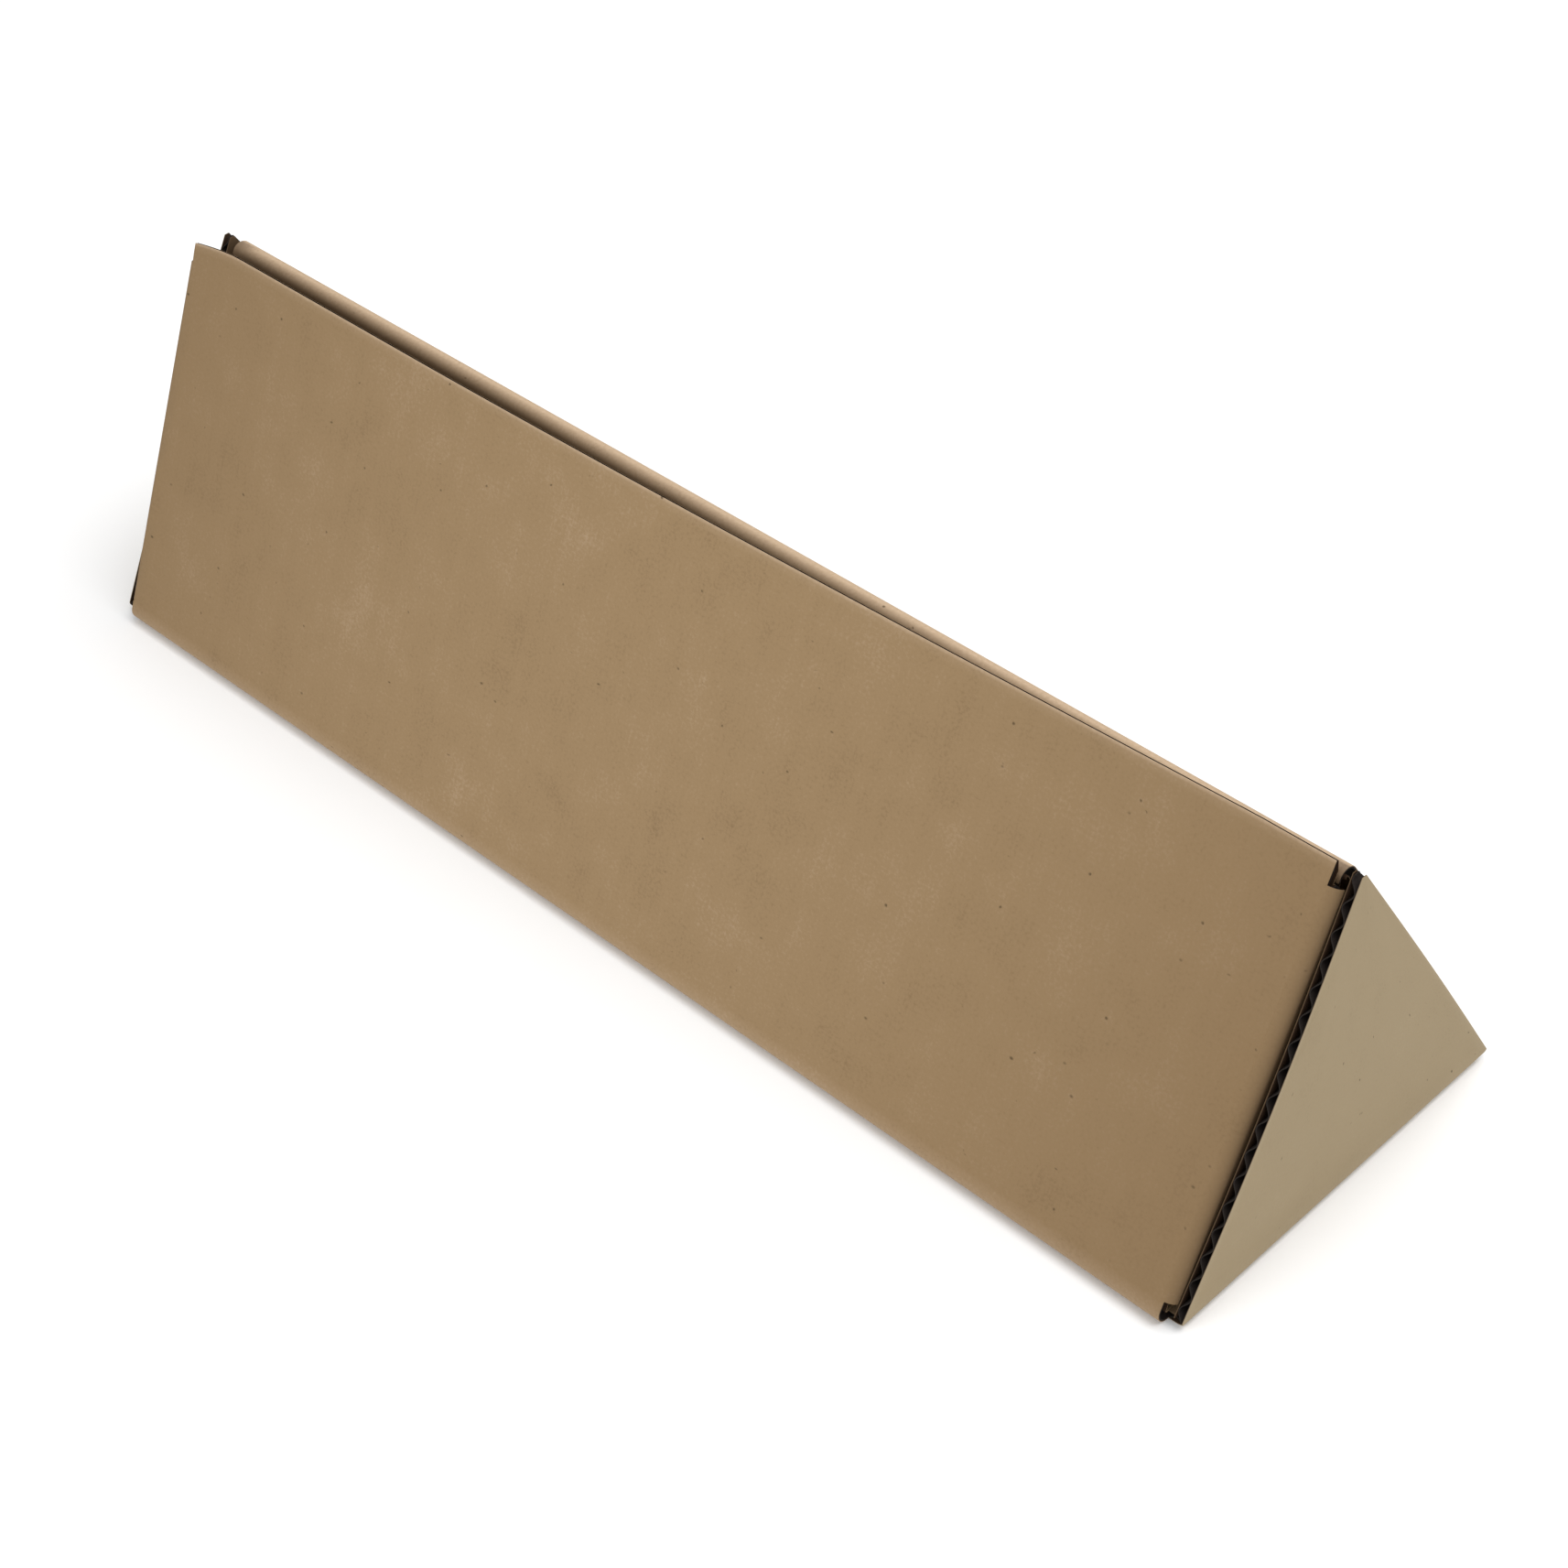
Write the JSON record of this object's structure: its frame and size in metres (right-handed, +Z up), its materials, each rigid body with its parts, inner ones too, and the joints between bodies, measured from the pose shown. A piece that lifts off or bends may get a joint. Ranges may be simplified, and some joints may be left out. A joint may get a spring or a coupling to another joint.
{
  "type": "triangular mailing tube",
  "caption": "Three-sided corrugated board tube with a folded-over cover panel and hinged triangular end flaps, for posting rolled sheets.",
  "frame": {"origin": "on the table under the middle of the tube, which lies on its base panel", "axes": "+X along the tube to its right end, +Y away from the near cover panel, +Z up"},
  "size_m": [0.437, 0.1288, 0.1189],
  "materials": {
    "kraft_wrap": "matte",
    "kraft_flap": "matte"
  },
  "bodies": {
    "wrap": {"tube_wrap": "kraft_wrap"},
    "right_flap": {"right_end_flap": "kraft_flap"},
    "left_flap": {"left_end_flap": "kraft_flap"}
  },
  "joints": [
    {"name": "right_flap_hinge", "type": "hinge", "parent": "wrap", "child": "right_flap", "pos_m": [0.21762, 0, 0.00088], "axis": [0, 1, 0], "range_deg": [0, 90]},
    {"name": "left_flap_hinge", "type": "hinge", "parent": "wrap", "child": "left_flap", "pos_m": [-0.21762, 0, 0.00088], "axis": [0, -1, 0], "range_deg": [0, 90]}
  ]
}
